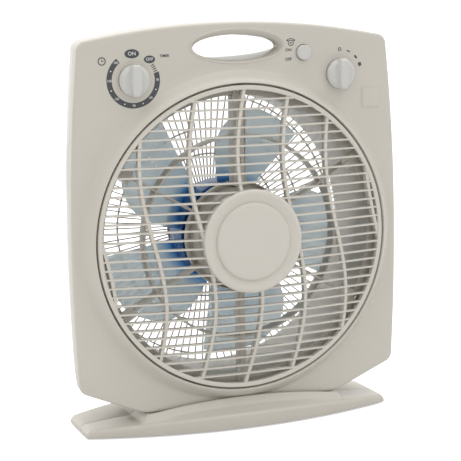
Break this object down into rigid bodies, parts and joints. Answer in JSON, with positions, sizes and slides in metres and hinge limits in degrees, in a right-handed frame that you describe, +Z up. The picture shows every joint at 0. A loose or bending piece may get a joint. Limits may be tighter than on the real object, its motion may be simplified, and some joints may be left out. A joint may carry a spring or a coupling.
{
  "type": "box fan",
  "caption": "Upright box fan with a round turning louvre grille, carry slot, timer dial, speed dial, louvre push button, bladed impeller, radial rear grille and low bowed base.",
  "frame": {"origin": "on the floor, under the middle of the overall width and depth", "axes": "+X to the right seen from the front, +Y to the back along the motor axis, +Z up"},
  "size_m": [0.393, 0.154, 0.4575],
  "materials": {
    "shell_plastic": "warm light grey, semi-gloss moulded",
    "louvre_plastic": "light grey beige, semi-gloss moulded",
    "knob_plastic": "cooler light grey, semi-gloss",
    "blue_translucent": "translucent blue, glossy",
    "zinc_steel": "zinc-plated",
    "dark_steel": "laminated steel, dark",
    "cast_zinc": "cast, dull",
    "copper_winding": "enamelled copper wire",
    "bearing_brass": "sintered bronze",
    "dark_plastic": "black, matte",
    "white_plastic": "white, matte",
    "foot_rubber": "black rubber"
  },
  "bodies": {
    "housing": {"front_housing": "shell_plastic", "rear_housing": "shell_plastic", "rear_grille": "shell_plastic", "motor_bracket": "louvre_plastic", "channel_cover": "louvre_plastic", "motor_cover": "louvre_plastic", "stator_core": "zinc_steel", "winding_front": "copper_winding", "winding_rear": "copper_winding", "motor_bell_front": "cast_zinc", "motor_bell_rear": "cast_zinc", "bearing_front": "bearing_brass", "bearing_rear": "bearing_brass", "louvre_motor": "dark_plastic", "timer_unit": "zinc_steel", "speed_switch": "dark_plastic", "louvre_switch": "dark_plastic", "run_capacitor": "white_plastic", "terminal_block": "white_plastic", "cord_inlet": "dark_plastic", "base_front": "shell_plastic", "base_rear": "shell_plastic", "foot_pad_1": "foot_rubber", "foot_pad_2": "foot_rubber", "foot_pad_3": "foot_rubber", "foot_pad_4": "foot_rubber", "case_screw_1": "zinc_steel", "case_screw_2": "zinc_steel", "case_screw_3": "zinc_steel", "case_screw_4": "zinc_steel", "base_screw_1": "zinc_steel", "base_screw_2": "zinc_steel", "base_screw_3": "zinc_steel", "base_screw_4": "zinc_steel", "bracket_screw_1": "zinc_steel", "bracket_screw_2": "zinc_steel", "bracket_screw_3": "zinc_steel", "grille_screw_1": "zinc_steel", "grille_screw_2": "zinc_steel", "grille_screw_3": "zinc_steel", "grille_screw_4": "zinc_steel"},
    "rotor": {"rotor_shaft": "zinc_steel", "rotor_core": "dark_steel", "impeller": "blue_translucent", "impeller_nut": "knob_plastic"},
    "louvre": {"louvre_grille": "louvre_plastic", "louvre_cap": "louvre_plastic", "louvre_shaft": "zinc_steel"},
    "timer_dial": {"timer_knob": "knob_plastic", "timer_shaft": "zinc_steel"},
    "speed_dial": {"speed_knob": "knob_plastic", "speed_shaft": "zinc_steel"},
    "button": {"louvre_button": "knob_plastic"}
  },
  "joints": [
    {"name": "rotor_spin", "type": "hinge", "parent": "housing", "child": "rotor", "pos_m": [0, 0, 0.217], "axis": [0, 1, 0], "continuous": true},
    {"name": "louvre_spin", "type": "hinge", "parent": "housing", "child": "louvre", "pos_m": [0, 0, 0.217], "axis": [0, 1, 0], "continuous": true},
    {"name": "timer_turn", "type": "hinge", "parent": "housing", "child": "timer_dial", "pos_m": [-0.122, -0.0384, 0.3968], "axis": [0, 1, 0], "range_deg": [0, 315]},
    {"name": "speed_turn", "type": "hinge", "parent": "housing", "child": "speed_dial", "pos_m": [0.1245, -0.0384, 0.3968], "axis": [0, 1, 0], "range_deg": [0, 71]},
    {"name": "button_press", "type": "slide", "parent": "housing", "child": "button", "axis": [0, 1, 0], "range_m": [0, 0.003], "stiffness_N_per_m": 300, "springref_m": -0.002}
  ]
}
